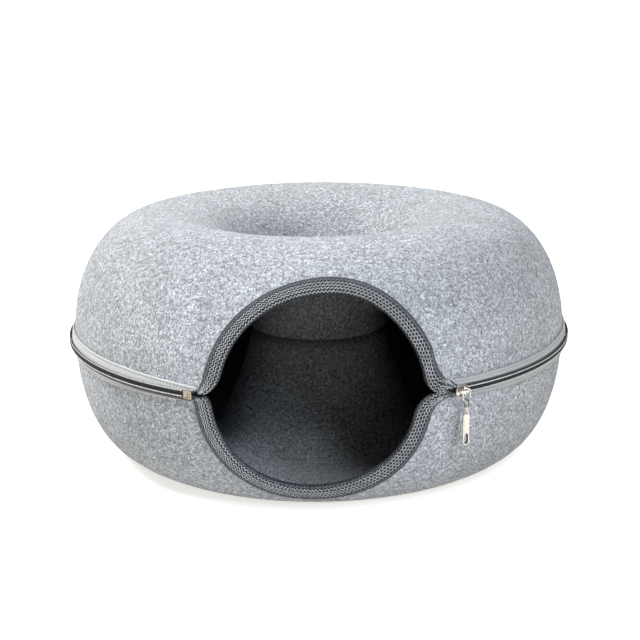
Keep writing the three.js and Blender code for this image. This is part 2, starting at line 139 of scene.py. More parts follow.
sections = {
    "upper": lineTable(upperSection(), fineness["sectionStep"]),
    "lower": lineTable(lowerSection(), fineness["sectionStep"]),
}


def unevenness(azimuth, level):
    # Three low waves round the ring, which fade out towards the floor
    wave = (
        np.sin(2 * azimuth + 0.7)
        + 0.6 * np.sin(3 * azimuth + level / 0.045)
        + 0.4 * np.sin(5 * azimuth - level / 0.030)
    )
    fade = np.clip((level - ring["unevenFrom"]) / ring["unevenFade"], 0, 1)
    return 0.5 * ring["unevenBy"] * wave * fade * fade * (3 - 2 * fade)


def feltPoints(along, rise, height):
    along, rise, height = np.broadcast_arrays(along, rise, height)
    placed = np.empty(rise.shape + (3,))
    for half, side in halves.items():
        here = (rise >= 0) == (half == "upper")
        gone = np.abs(rise[here])
        radius, level = readTable(sections[half], gone)
        outward, upward = readTable(sections[half], gone, "slope")
        azimuth = along[here] / ring["feltRadius"]
        ridge = ring["ridgeHeight"] * bulge(gone, ring["ridgeWidth"])
        lift = height[here] + ridge + unevenness(azimuth, level)
        reach = radius + side * upward * lift
        placed[here] = np.stack([
            reach * np.sin(azimuth),
            ring["centreY"] - reach * np.cos(azimuth),
            level - side * outward * lift,
        ], axis=-1)
    return placed


# The entrance. Each half has two lines in (along, rise): the fold round the opening and the
# braid's outer hem. The halves zip up a little out of line, so each arc has its own centre.
entrance = {
    "upper": {
        "fold": {
            "start": (-0.1, 0.0006), "startBend": (-0.0887, 0.0045),
            "centre": 0.003, "radius": 0.0903, "fromDegrees": 166, "toDegrees": 10,
            "swell": 0.0035, "swellAt": 66, "swellSpread": 24,
            "endBend": (0.0939, 0.0032), "end": (0.102, 0.0006), "runTo": (0.1175, 0.0006),
        },
        "hem": {
            "start": (-0.1045, 0.0006), "startBend": (-0.0997, 0.0144),
            "centre": 0.003, "radius": 0.103, "fromDegrees": 165.5, "toDegrees": 21.5,
            "swell": 0.004, "swellAt": 68, "swellSpread": 28,
            "endBend": (0.101, 0.014), "end": (0.121, 0.0026),
        },
    },
    "lower": {
        "fold": {
            "start": (-0.101, -0.0006), "startBend": (-0.0954, -0.0031),
            "centre": -0.005, "radius": 0.0908, "fromDegrees": -172.3, "toDegrees": -13.2,
            "swell": -0.0025, "swellAt": -62, "swellSpread": 28,
            "endBend": (0.0863, -0.0044), "end": (0.102, -0.0006), "runTo": (0.117, -0.0006),
        },
        "hem": {
            "start": (-0.1085, -0.0006), "startBend": (-0.1081, -0.0135),
            "centre": -0.005, "radius": 0.1035, "fromDegrees": -164.8, "toDegrees": -12.3,
            "swell": 0.002, "swellAt": -100, "swellSpread": 40,
            "endBend": (0.099, -0.008), "end": (0.12, -0.0026),
        },
    },
}


def entranceLine(line):
    degrees = np.linspace(line["fromDegrees"], line["toDegrees"], fineness["arc"])
    radius = line["radius"] + line["swell"] * bulge(degrees - line["swellAt"], line["swellSpread"])
    angle = np.radians(degrees)
    arc = np.column_stack([line["centre"] + radius * np.cos(angle), radius * np.sin(angle)])
    curves = [
        quadraticLine(line["start"], line["startBend"], arc[0]),
        arc,
        quadraticLine(arc[-1], line["endBend"], line["end"]),
    ]
    if "runTo" in line:
        curves.append(np.array([line["runTo"]]))
    return lineTable(curves, fineness["entranceStep"])


foldLines = {half: entranceLine(lines["fold"]) for half, lines in entrance.items()}
hemLines = {half: entranceLine(lines["hem"]) for half, lines in entrance.items()}

# The braid. Its zigzag yarns are counted from the outer hem round the fold to the inner hem.
braid = {
    "thickness": 0.0012,
    "seat": 0.0004,
    "width": 0.013,
    "innerWidth": 0.0115,
    "cutWidth": 0.032,
    "wrap": 0.003,
    "innerLegGap": 0.0011,
    "foldRadius": 0.0015,
    "feltSetBack": 0.0018,
    "hemTaper": 0.0009,
    "thinnestHem": 0.05,
    "columns": 560,
    "rows": 40,
    "firstYarn": 0.0027,
    "yarnPitch": 0.0024,
    "yarnWave": 0.0035,
    "yarnSwing": 0.0008,
    "yarnRadius": 0.00042,
    "yarnSink": 0.0002,
    # Painted shade: the rows round the fold and on the inside take darkened yarn colours, where they
    # face down into the entrance
    "yarns": {
        "upper": ["hemYarn"] + 4 * ["braidYarn"] + 5 * ["shadedInsideYarn"],
        "lower": ["hemYarn"] + 4 * ["braidYarn"] + ["shadedFoldYarn"] + 4 * ["shadedInsideYarn"],
    },
}


def alongLine(line, share):
    return np.stack(readTable(line, share * line["length"]), axis=-1)


def acrossBraid(half, share, inset):
    # Places at a share of the fold's length and an inset from the fold. Where the braid is narrower
    # at its ends, only the part past the wrap is squeezed.
    fold = alongLine(foldLines[half], share)
    hem = alongLine(hemLines[half], share)
    width = np.linalg.norm(hem - fold, axis=-1)
    squeeze = (width - braid["wrap"]) / (braid["width"] - braid["wrap"])
    wrapped = np.minimum(inset, braid["wrap"])
    part = (wrapped + (inset - wrapped) * squeeze) / width
    return fold + (hem - fold) * part[..., None]


# Mesh helpers
def deselectAll():
    if bpy.context.mode != "OBJECT":
        bpy.ops.object.mode_set(mode="OBJECT")
    bpy.ops.object.select_all(action="DESELECT")


def activate(piece):
    deselectAll()
    piece.select_set(True)
    bpy.context.view_layer.objects.active = piece


def nameNew(name):
    piece = bpy.context.active_object
    piece.name = name
    piece.data.name = name
    return piece


def addObject(name, data):
    added = bpy.data.objects.new(name, data)
    bpy.context.scene.collection.objects.link(added)
    return added


def meshPoints(piece):
    points = np.empty(len(piece.data.vertices) * 3)
    piece.data.vertices.foreach_get("co", points)
    return points.reshape(-1, 3)


def setPoints(piece, points):
    piece.data.vertices.foreach_set("co", np.asarray(points, float).ravel())
    piece.data.update()


def pickNothing(piece, kind):
    # Clears the selection, and sets which kind of element edit mode works on
    for elements in (piece.data.vertices, piece.data.edges, piece.data.polygons):
        elements.foreach_set("select", [False] * len(elements))
    kinds = ("VERT", "EDGE", "FACE")
    bpy.context.tool_settings.mesh_select_mode = [kind == other for other in kinds]


def editPicked(piece, *steps):
    activate(piece)
    bpy.ops.object.mode_set(mode="EDIT")
    for step, settings in steps:
        step(**settings)
    bpy.ops.mesh.select_all(action="DESELECT")
    bpy.ops.object.mode_set(mode="OBJECT")
    bpy.context.tool_settings.mesh_select_mode = (True, False, False)


def editAll(piece, step, **settings):
    editPicked(piece, (bpy.ops.mesh.select_all, {"action": "SELECT"}), (step, settings))


def pointOut(piece):
    editAll(piece, bpy.ops.mesh.normals_make_consistent, inside=False)


def smooth(piece, degrees=50):
    activate(piece)
    bpy.ops.object.shade_smooth_by_angle(angle=math.radians(degrees))


def flatSlab(name, columns, rows):
    # A flat slab of cells: x and y run from 0 to 1, and its two faces are at z 0 and z -1
    deselectAll()
    bpy.ops.mesh.primitive_grid_add(x_subdivisions=columns, y_subdivisions=rows, size=1)
    slab = nameNew(name)
    editAll(slab, bpy.ops.mesh.extrude_region_move, TRANSFORM_OT_translate={"value": (0, 0, -1)})
    pointOut(slab)
    setPoints(slab, meshPoints(slab) + np.array([0.5, 0.5, 0]))
    return slab


def openEnds(slab):
    pickNothing(slab, "FACE")
    for polygon in slab.data.polygons:
        polygon.select = abs(polygon.normal.x) > 0.9
    editPicked(slab, (bpy.ops.mesh.delete, {"type": "ONLY_FACE"}))


def writeFlatMap(piece, across, up):
    flatMap = piece.data.uv_layers.new(name="flat")
    corners = np.empty(len(piece.data.loops), int)
    piece.data.loops.foreach_get("vertex_index", corners)
    flatMap.data.foreach_set("uv", np.column_stack([across[corners], up[corners]]).ravel())


def finishPiece(piece, nodes, materials):
    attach(piece, "root")
    if nodes:
        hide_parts(*nodes)
    indices = np.empty(len(piece.data.polygons), int)
    piece.data.polygons.foreach_get("material_index", indices)
    piece.data.materials.clear()
    for material in materials:
        piece.data.materials.append(material)
    piece.data.polygons.foreach_set("material_index", indices)


# Shader helpers
def newGroup(name, inputs, outputs):
    group = bpy.data.node_groups.new(name, "ShaderNodeTree")
    for socketName, socketType in inputs.items():
        group.interface.new_socket(socketName, in_out="INPUT", socket_type=socketType)
    for socketName in outputs:
        group.interface.new_socket(socketName, in_out="OUTPUT", socket_type="NodeSocketFloat")
    return group, group.nodes.new("NodeGroupInput"), group.nodes.new("NodeGroupOutput")


def feed(tree, socket, value):
    # The value is another node's socket, a plain number or vector, or a colour without its alpha
    if isinstance(value, bpy.types.NodeSocket):
        tree.links.new(value, socket)
    else:
        socket.default_value = (*value, 1.0) if socket.type == "RGBA" else value


def addNode(tree, kind, inputs, **settings):
    # A shader node with its settings, and a value for each input that is named or numbered
    node = tree.nodes.new(f"ShaderNode{kind}")
    for name, setting in settings.items():
        setattr(node, name, setting)
    for name, value in inputs.items():
        feed(tree, node.inputs[name], value)
    return node


def mathNode(tree, operation, *values):
    return addNode(tree, "Math", dict(enumerate(values)), operation=operation).outputs[0]


def vectorNode(tree, operation, vector, by):
    inputs = {0: vector, "Scale" if operation == "SCALE" else 1: by}
    return addNode(tree, "VectorMath", inputs, operation=operation).outputs[0]


def mixColour(tree, factor, first, second):
    return addNode(tree, "Mix", {0: factor, 6: first, 7: second}, data_type="RGBA").outputs[2]


def mapRange(tree, value, fromLow, fromHigh, toLow=0.0, toHigh=1.0, kind="LINEAR"):
    inputs = dict(enumerate((value, fromLow, fromHigh, toLow, toHigh)))
    return addNode(tree, "MapRange", inputs, interpolation_type=kind).outputs[0]


def noiseNode(tree, vector, scale, detail=2.0, roughness=0.5, distortion=0.0):
    inputs = {"Vector": vector, "Scale": scale, "Detail": detail, "Roughness": roughness}
    return addNode(tree, "TexNoise", {**inputs, "Distortion": distortion}).outputs["Fac"]


def splitVector(tree, vector):
    return addNode(tree, "SeparateXYZ", {0: vector}).outputs[:2]


def objectPlace(tree):
    return addNode(tree, "TexCoord", {}).outputs["Object"]


def flatPlace(tree):
    return addNode(tree, "UVMap", {}, uv_map="flat").outputs[0]


def fibreStrands(group, vector, shift, width):
    # Thin ridges of noise, stretched three ways, so that they read as crossing fibres
    moved = vectorNode(group, "ADD", vector, (shift, -shift, 0.5 * shift))
    strands = []
    for stretch in ((0.4, 1.0, 1.0), (1.0, 0.4, 1.0), (1.0, 1.0, 0.4)):
        turned = vectorNode(group, "MULTIPLY", moved, stretch)
        field = noiseNode(group, turned, 1.0, detail=1.0, distortion=0.5)
        offset = mathNode(group, "ABSOLUTE", mathNode(group, "SUBTRACT", field, 0.5))
        strands.append(mapRange(group, offset, 0.0, width, 1.0, 0.0, "SMOOTHSTEP"))
    both = mathNode(group, "MAXIMUM", strands[0], strands[1])
    return mathNode(group, "MAXIMUM", both, strands[2])


def feltFibresGroup():
    outputs = ("Pale Fibres", "Dark Fibres", "Specks", "Tufts", "Clouds")
    inputs = {"Vector": "NodeSocketVector", "Fibre Scale": "NodeSocketFloat"}
    group, given, made = newGroup("feltFibres", inputs, outputs)
    vector = vectorNode(group, "SCALE", given.outputs["Vector"], given.outputs["Fibre Scale"])
    fields = (
        fibreStrands(group, vector, 0.0, 0.06),
        fibreStrands(group, vector, 31.0, 0.05),
        noiseNode(group, vector, 0.9, roughness=0.6),
        noiseNode(group, vector, 0.45, roughness=0.55),
        noiseNode(group, vector, 0.05),
    )
    for name, field in zip(outputs, fields):
        group.links.new(field, made.inputs[name])
    return group


def threadWeaveGroup():
    # A plain weave over a flat map in metres: across and up threads pass over each other by turns
    inputs = {"Vector": "NodeSocketVector", "Thread Width": "NodeSocketFloat"}
    group, given, made = newGroup("threadWeave", inputs, ["Height"])
    cells, rounds = [], []
    for distance in splitVector(group, given.outputs["Vector"]):
        threads = mathNode(group, "DIVIDE", distance, given.outputs["Thread Width"])
        cells.append(mathNode(group, "FLOOR", threads))
        phase = mathNode(group, "MULTIPLY", mathNode(group, "FRACT", threads), math.pi)
        rounds.append(mathNode(group, "SINE", phase))
    crossing = mathNode(group, "ABSOLUTE", mathNode(group, "ADD", *cells))
    parity = mathNode(group, "MODULO", crossing, 2.0)
    over = mathNode(group, "MULTIPLY", parity, rounds[0])
    under = mathNode(group, "MULTIPLY", mathNode(group, "SUBTRACT", 1.0, parity), rounds[1])
    group.links.new(mathNode(group, "ADD", over, under), made.inputs["Height"])
    return group


feltFibres = feltFibresGroup()
threadWeave = threadWeaveGroup()


def newMaterial(name, finish):
    # finish holds the shader's plain values, by the name of the socket
    material = bpy.data.materials.new(name)
    material.use_nodes = True
    tree = material.node_tree
    tree.nodes.clear()
    shader = addNode(tree, "BsdfPrincipled", finish)
    addNode(tree, "OutputMaterial", {0: shader.outputs[0]})
    return material, tree, shader


def placeGroup(tree, group, vector, size):
    # size is the group's second input: the scale of its fibres or the width of its threads
    return addNode(tree, "Group", {"Vector": vector, 1: size}, node_tree=group).outputs


def bumpInto(tree, shader, height, distance):
    bump = addNode(tree, "Bump", {"Strength": 1.0, "Distance": distance, "Height": height})
    tree.links.new(bump.outputs[0], shader.inputs["Normal"])


def grainMaterial(name, light, dark, look):
    # Noise varies the colour, and the roughness too where two values are given for it
    material, tree, shader = newMaterial(name, look["finish"])
    grain = noiseNode(tree, objectPlace(tree), look["scale"], look["detail"], look["harshness"])
    colour = mixColour(tree, mapRange(tree, grain, *look["contrast"]), dark, light)
    tree.links.new(colour, shader.inputs["Base Color"])
    if "roughness" in look:
        tree.links.new(mapRange(tree, grain, 0.3, 0.7, *look["roughness"]), shader.inputs["Roughness"])
    if "bump" in look:
        bumpInto(tree, shader, grain, look["bump"])
    return material


feltLook = {
    "fibreScale": 600.0,
    "pale": (0.90, 0.925, 0.96),
    "light": (0.80, 0.825, 0.865),
    "dark": (0.26, 0.27, 0.29),
    "darkest": (0.06, 0.063, 0.07),
    "paleShare": 0.5,
    "darkShare": 0.8,
    "speckContrast": (0.35, 0.62),
    "tuftShade": (0.71, 1.17),
    "cloudShade": (0.94, 1.05),
    # Painted shade: the tunnel's inside takes a darker copy of the felt, for the shade inside the tunnel
    "insideShadedLight": 0.64,
    "insideShadedDark": 0.34,
    "bump": 0.0008,
    "finish": {
        "Roughness": 0.95, "Specular IOR Level": 0.15, "Sheen Weight": 0.12, "Sheen Roughness": 0.6,
    },
}


def feltMaterial(name, lightShade=1.0, darkShade=1.0):
    material, tree, shader = newMaterial(name, feltLook["finish"])
    fibres = placeGroup(tree, feltFibres, objectPlace(tree), feltLook["fibreScale"])
    pale, light = (np.array(feltLook[tone]) * lightShade for tone in ("pale", "light"))
    dark, darkest = (np.array(feltLook[tone]) * darkShade for tone in ("dark", "darkest"))
    colour = mixColour(tree, mapRange(tree, fibres["Specks"], *feltLook["speckContrast"]), dark, light)
    darkShare = mathNode(tree, "MULTIPLY", fibres["Dark Fibres"], feltLook["darkShare"])
    colour = mixColour(tree, darkShare, colour, darkest)
    paleShare = mathNode(tree, "MULTIPLY", fibres["Pale Fibres"], feltLook["paleShare"])
    colour = mixColour(tree, paleShare, colour, pale)
    tufts = mapRange(tree, fibres["Tufts"], 0.35, 0.65, *feltLook["tuftShade"])
    clouds = mapRange(tree, fibres["Clouds"], 0.35, 0.65, *feltLook["cloudShade"])
    # Painted shade: the lining is darkened below the waist seam, where the upper half's edge stands over
    # the lower half
    seamShade = addNode(tree, "Attribute", {}, attribute_name="seamShade")
    seamLight = mathNode(tree, "SUBTRACT", 1.0, seamShade.outputs["Fac"])
    shade = mathNode(tree, "MULTIPLY", mathNode(tree, "MULTIPLY", tufts, clouds), seamLight)
    tree.links.new(vectorNode(tree, "SCALE", colour, shade), shader.inputs["Base Color"])
    height = mathNode(tree, "SUBTRACT", fibres["Pale Fibres"], fibres["Dark Fibres"])
    bumpInto(tree, shader, mathNode(tree, "ADD", height, fibres["Specks"]), feltLook["bump"])
    return material


felt = feltMaterial("greyFelt")
# Painted shade: a darker copy of the felt for the inside of the tunnel
shadedInsideFelt = feltMaterial("greyFeltShadedInside", feltLook["insideShadedLight"], feltLook["insideShadedDark"])
print("felt materials made")

feltShape = {
    "columns": 380,
    "rows": 68,
    "rowCrowding": 0.72,
    "edgePoints": 150,
    "cutAllowance": {"upper": 0.0155, "lower": 0.015},
    "seamPress": {"upper": -0.0016, "lower": 0.0033},
    "seamWidth": 0.008,
    "seamShade": {"upper": 0.0, "lower": 0.88},
    "shadeWidth": 0.009,
    "shadeCurve": 1.4,
    "blankWidth": 0.645,
    "blankArea": 0.31,
}


def feltEdge(half):
    # The felt's edge from the back round to the back: along the zip, and round the entrance's cut
    endShare = 1 - feltShape["cutAllowance"][half] / foldLines[half]["length"]
    share = np.linspace(0, endShare, feltShape["edgePoints"])
    cut = acrossBraid(half, share, np.full_like(share, braid["feltSetBack"]))
    cutRise = np.maximum(np.abs(cut[:, 1]), ring["zipOpening"])
    rest = feltShape["columns"] + 1 - len(cut)
    leftCount = rest // 2
    left = np.linspace(-circumference / 2, cut[0, 0], leftCount + 1)[:-1]
    right = np.linspace(cut[-1, 0], circumference / 2, rest - leftCount + 1)[1:]
    along = np.concatenate([left, cut[:, 0], right])
    rise = np.full_like(along, ring["zipOpening"])
    rise[leftCount:leftCount + len(cut)] = cutRise
    return along, rise


def makeFeltHalf(half):
    edgeAlong, edgeRise = feltEdge(half)
    shell = flatSlab(f"{half}Felt", feltShape["columns"], feltShape["rows"])
    openEnds(shell)
    flat = meshPoints(shell)
    column = np.rint(flat[:, 0] * feltShape["columns"]).astype(int)
    waist = sections[half]["length"] - ring["waistGap"]
    crowding = feltShape["rowCrowding"] * np.sin(2 * math.pi * flat[:, 1]) / (2 * math.pi)
    rise = edgeRise[column] + (waist - edgeRise[column]) * (flat[:, 1] - crowding)
    press = feltShape["seamPress"][half] * bulge(waist - rise, feltShape["seamWidth"])
    height = flat[:, 2] * (ring["feltThickness"] - press)
    lining = flat[:, 2] < -0.5
    # Painted shade on the lower half's lining below the waist seam, fading away from the seam
    fade = np.exp(-(((waist - rise) / feltShape["shadeWidth"]) ** feltShape["shadeCurve"]))
    seamShade = shell.data.attributes.new("seamShade", "FLOAT", "POINT")
    seamShade.data.foreach_set("value", feltShape["seamShade"][half] * fade * lining)
    setPoints(shell, feltPoints(edgeAlong[column], halves[half] * rise, height))
    # The lining faces take the darker felt copy: painted shade inside the tunnel
    for polygon in shell.data.polygons:
        polygon.material_index = int(all(lining[index] for index in polygon.vertices))
    editAll(shell, bpy.ops.mesh.remove_doubles, threshold=1e-6)
    pointOut(shell)
    smooth(shell)
    finishPiece(shell, [f"{half}_shell"], [felt, shadedInsideFelt])


makeFeltHalf("upper")
makeFeltHalf("lower")
print("felt halves moulded")


# The braid over the entrance's edge
def braidMiddle():
    # The braid's middle, as (inset, height): in from the inner hem, round the fold, out to the hem
    middle = braid["thickness"] / 2
    outerLevel = braid["seat"] + middle
    innerLevel = -ring["feltThickness"] - braid["innerLegGap"] - middle
    turn = braid["foldRadius"]
    curves = [np.array([[braid["innerWidth"], innerLevel]])]
    for level, start in ((innerLevel + turn, -90), (outerLevel - turn, -180)):
        angle = np.radians(np.linspace(start, start - 90, fineness["turn"]))
        inset = middle + turn + turn * np.cos(angle)
        curves.append(np.column_stack([inset, level + turn * np.sin(angle)]))
    curves.append(np.array([[braid["width"], outerLevel]]))
    return lineTable(curves, fineness["entranceStep"])


braidLine = braidMiddle()


def braidPoints(half, share, gone, offset):
    # Points of the braid: share runs along the fold, gone over the braid from its inner hem
    inset, level = readTable(braidLine, gone)
    inward, upward = readTable(braidLine, gone, "slope")
    place = acrossBraid(half, share, inset - offset * upward)
    return feltPoints(place[:, 0], halves[half] * np.abs(place[:, 1]), level + offset * inward)


def makeBand(half):
    band = flatSlab(f"{half}Braid", braid["columns"], braid["rows"])
    flat = meshPoints(band)
    gone = flat[:, 1] * braidLine["length"]
    toHem = braidLine["length"] - gone
    hem = np.minimum(gone, toHem) / braid["hemTaper"]
    taper = np.sqrt(np.clip(1 - (1 - np.clip(hem, 0, 1)) ** 2, braid["thinnestHem"], 1))
    offset = (flat[:, 2] + 0.5) * braid["thickness"] * taper
    writeFlatMap(band, flat[:, 0] * foldLines[half]["length"], toHem)
    setPoints(band, braidPoints(half, flat[:, 0], gone, offset))
    pointOut(band)
    smooth(band, 70)
    return band


def threadMesh(name, lines, radius):
    # Round threads along lines of points, as one mesh
    curve = bpy.data.curves.new(name, "CURVE")
    curve.dimensions = "3D"
    curve.bevel_depth = radius
    curve.bevel_resolution = 1
    curve.use_fill_caps = True
    for line in lines:
        spline = curve.splines.new("POLY")
        spline.points.add(len(line) - 1)
        spline.points.foreach_set("co", np.column_stack([line, np.ones(len(line))]).ravel())
    activate(addObject(name, curve))
    bpy.ops.object.convert(target="MESH")
    threads = nameNew(name)
    smooth(threads, 80)
    return threads


def makeYarns(half):
    tones = braid["yarns"][half]
    waves = int(foldLines[half]["length"] / braid["yarnWave"])
    turns = np.linspace(0.5, waves - 0.5, (waves - 1) * 4 + 1)
    swing = braid["yarnSwing"] * (np.abs((turns % 1) * 4 - 2) - 1)
    offset = braid["thickness"] / 2 + braid["yarnRadius"] - braid["yarnSink"]
    lines = []
    for row in range(len(tones)):
        gone = braidLine["length"] - braid["firstYarn"] - row * braid["yarnPitch"] + swing
        lines.append(braidPoints(half, turns / waves, gone, offset))
    yarns = threadMesh(f"{half}BraidYarn", lines, braid["yarnRadius"])
    rowFaces = len(yarns.data.polygons) // len(tones)
    for polygon in yarns.data.polygons:
        polygon.material_index = braidTones.index(tones[polygon.index // rowFaces])
    return yarns


def newStitch():
    # One stitch, a unit long and wide, plumper in its middle
    deselectAll()
    bpy.ops.mesh.primitive_uv_sphere_add(segments=6, ring_count=6, radius=0.5)
    model = bpy.context.active_object
    turn = {"value": math.pi / 2, "orient_axis": "Y", "center_override": (0, 0, 0)}
    editAll(model, bpy.ops.transform.rotate, **turn)
    points = meshPoints(model)
    faces = [tuple(polygon.vertices) for polygon in model.data.polygons]
    bpy.data.objects.remove(model)
    return points, faces


stitchPoints, stitchFaces = newStitch()


def stitchRows(name, starts, ends, stitch):
    # Stitches lying on the felt from starts to ends, both (along, rise)
    first = feltPoints(starts[:, 0], starts[:, 1], stitch["level"])
    last = feltPoints(ends[:, 0], ends[:, 1], stitch["level"])
    along, rise = np.transpose((starts + ends) / 2)
    off = feltPoints(along, rise, stitch["level"] + 0.001) - feltPoints(along, rise, stitch["level"])
    off *= stitch["thickness"] / np.linalg.norm(off, axis=1)[:, None]
    sideways = np.cross(off, last - first)
    sideways *= stitch["width"] / np.linalg.norm(sideways, axis=1)[:, None]
    placed = stitchPoints @ np.stack([last - first, sideways, off], axis=1)
    placed += ((first + last) / 2)[:, None, :]
    faces = [
        tuple(index + len(stitchPoints) * i for index in face)
        for i in range(len(starts)) for face in stitchFaces
    ]
    mesh = bpy.data.meshes.new(name)
    mesh.from_pydata(placed.reshape(-1, 3), [], faces)
    piece = addObject(name, mesh)
    pointOut(piece)
    smooth(piece, 80)
    return piece


hemStitch = {
    "inset": 0.0116,
    "fromShare": 0.02,
    "sewnShare": 0.955,
    "pitch": 0.0034,
    "length": 0.0024,
    "level": 0.00165,
    "width": 0.00055,
    "thickness": 0.0004,
}


def makeHemStitches(half):
    length = foldLines[half]["length"]
    count = int(length * hemStitch["sewnShare"] / hemStitch["pitch"])
    share = hemStitch["fromShare"] + hemStitch["pitch"] / length * np.arange(count)
    inset = np.full(count, hemStitch["inset"])
    starts = acrossBraid(half, share, inset)
    ends = acrossBraid(half, share + hemStitch["length"] / length, inset)
    for line in (starts, ends):
        line[:, 1] = halves[half] * np.abs(line[:, 1])
    return stitchRows(f"{half}BraidStitch", starts, ends, hemStitch)


braidLook = {
    "gapColour": (0.014, 0.015, 0.018),
    "hemColour": (0.050, 0.054, 0.063),
    "hemWidth": (0.0028, 0.0036),
    "weaveShade": (0.55, 1.2),
    "threadWidth": 0.0006,
    "bump": 0.00035,
    "finish": {"Roughness": 0.82, "Specular IOR Level": 0.3},
}
threadLook = {
    "scale": 900.0,
    "detail": 3.0,
    "harshness": 0.6,
    "contrast": (0.38, 0.6),
    "bump": 0.0003,
    "finish": {"Roughness": 0.75, "Specular IOR Level": 0.3},
}
# The light and dark colour of each yarn and thread
threadColours = {
    "braidYarn": ((0.42, 0.428, 0.43), (0.14, 0.144, 0.148)),
    "hemYarn": ((0.17, 0.177, 0.19), braidLook["hemColour"]),
    # Painted shade: the yarns round the fold and inside the entrance are darkened
    "shadedInsideYarn": ((0.055, 0.057, 0.062), braidLook["gapColour"]),
    "shadedFoldYarn": ((0.22, 0.225, 0.235), braidLook["gapColour"]),
    "darkThread": ((0.10, 0.105, 0.11), (0.045, 0.045, 0.05)),
    "tapeThread": ((0.27, 0.275, 0.27), (0.15, 0.154, 0.15)),
    "lightThread": ((0.50, 0.50, 0.485), (0.30, 0.305, 0.30)),
    # Partly dark thread and partly painted shadow, for the black tacks at the braid's ends
    "blackShadeThread": ((0.018, 0.018, 0.020), (0.006, 0.006, 0.007)),
}


def braidMaterial():
    material, tree, shader = newMaterial("braidBand", braidLook["finish"])
    place = flatPlace(tree)
    weave = placeGroup(tree, threadWeave, place, braidLook["threadWidth"])
    pastHem = mapRange(tree, splitVector(tree, place)[1], *braidLook["hemWidth"], kind="SMOOTHSTEP")
    colour = mixColour(tree, pastHem, braidLook["hemColour"], braidLook["gapColour"])
    shade = mapRange(tree, weave["Height"], 0.0, 1.0, *braidLook["weaveShade"])
    tree.links.new(vectorNode(tree, "SCALE", colour, shade), shader.inputs["Base Color"])
    bumpInto(tree, shader, weave["Height"], braidLook["bump"])
    return material


braidBand = braidMaterial()
threads = {name: grainMaterial(name, *pair, threadLook) for name, pair in threadColours.items()}
braidTones = ["braidYarn", "hemYarn", "shadedInsideYarn", "shadedFoldYarn"]


def makeBinding(half):
    band = makeBand(half)
    yarns = makeYarns(half)
    stitches = makeHemStitches(half)
    finishPiece(band, [f"{half}_binding"], [braidBand])
    finishPiece(yarns, [], [threads[tone] for tone in braidTones])
    finishPiece(stitches, [], [threads["darkThread"]])


for half in halves:
    makeBinding(half)
print("braid folded over the entrance")

# The zip. Places along it count from the entrance's middle, and a negative one stands for a place
# at the entrance's left, where the zip has run all the way round.
zipper = {
    "tapeInner": 0.0004,
    "tapeOuter": 0.0118,
    "tapeLength": 1.305,
    "tapeSeat": 0.0006,
    "tapeThickness": 0.001,
    "columns": 640,
    "rows": 16,
    "bead": {"height": 0.00035, "inset": 0.0006, "width": 0.0006},
    "trough": {"height": -0.0002, "inset": 0.0020, "width": 0.0005},
    "coilOffset": 0.00155,
    "coilReach": 0.0013,
    "coilLevel": 0.0029,
    "coilRise": 0.00068,
    "wireRadius": 0.00031,
    "coilPitch": 0.0015,
    "coilFrom": 0.126,
    "coilTo": -0.1164,
    "coilStart": {"upper": 0.0, "lower": 0.5},
    "drift": (0.3, 1.2),
}
tapeEnds = {
    "upper": {"right": 0.1252, "rightSlant": -0.0137, "left": -0.109, "leftSlant": 0.009},
    "lower": {"right": 0.1252, "rightSlant": -0.0202, "left": -0.1105, "leftSlant": 0.0},
}
# The tape's outer edge, as (distance from the tape's end, rise): it comes in at the entrance
tapeEdges = {
    "upper": {
        "right": ((0, 0.0092), (0.08, 0.0094), (0.15, 0.0102), (0.22, 0.0112)),
        "left": ((0, 0.0064), (0.035, 0.0084), (0.09, 0.0104), (0.18, 0.0112)),
    },
    "lower": {
        "right": ((0, 0.0064), (0.04, 0.0076), (0.08, 0.0092), (0.15, 0.0102), (0.22, 0.0112)),
        "left": ((0, 0.0062), (0.035, 0.0076), (0.09, 0.0102), (0.18, 0.0112)),
    },
}
coilThread = {
    "from": 0.129,
    "to": -0.1160,
    "length": 0.0031,
    "pitch": 0.003,
    "rise": {"upper": (0.0021, 0.0032), "lower": (0.0021, 0.0017)},
    "level": 0.0038,
    "width": 0.0012,
    "thickness": 0.0006,
}
tapeStitch = {
    "from": 0.118,
    "to": -0.108,
    "length": 0.0027,
    "pitch": 0.0036,
    "level": 0.0015,
    "width": 0.0007,
    "thickness": 0.0005,
}
# The tape has a dark strip beside the coil: painted shadow of the coil, wider where the coil shades the
# tape more.
# Its width and the tape's painted shade, lighter towards the left end where the key light falls, drift
# from the right end to the left end.
tapeLook = {
    "light": (0.46, 0.465, 0.455),
    "dark": (0.30, 0.305, 0.297),
    "paintedShades": (0.90, 1.22),
    "strip": (0.020, 0.023, 0.024),
    "stripWidths": {"upper": (0.0042, 0.0030), "lower": (0.0040, 0.0060)},
    "stripFade": 0.0003,
    "threadWidth": 0.0007,
    "bump": 0.0004,
    "finish": {"Roughness": 0.7, "Sheen Weight": 0.15},
}
coilLook = {
    "light": (0.020, 0.024, 0.026),
    "dark": (0.006, 0.008, 0.009),
    "scale": 300.0,
    "detail": 2.0,
    "harshness": 0.5,
    "contrast": (0.35, 0.7),
    "roughness": (0.35, 0.55),
    "finish": {},
}


def tapeEdgeRise(half, along):
    ends, edges = tapeEnds[half], tapeEdges[half]
    right = np.interp(along - ends["right"], *np.transpose(edges["right"]))
    left = np.interp(circumference + ends["left"] - along, *np.transpose(edges["left"]))
    return np.minimum(right, left)


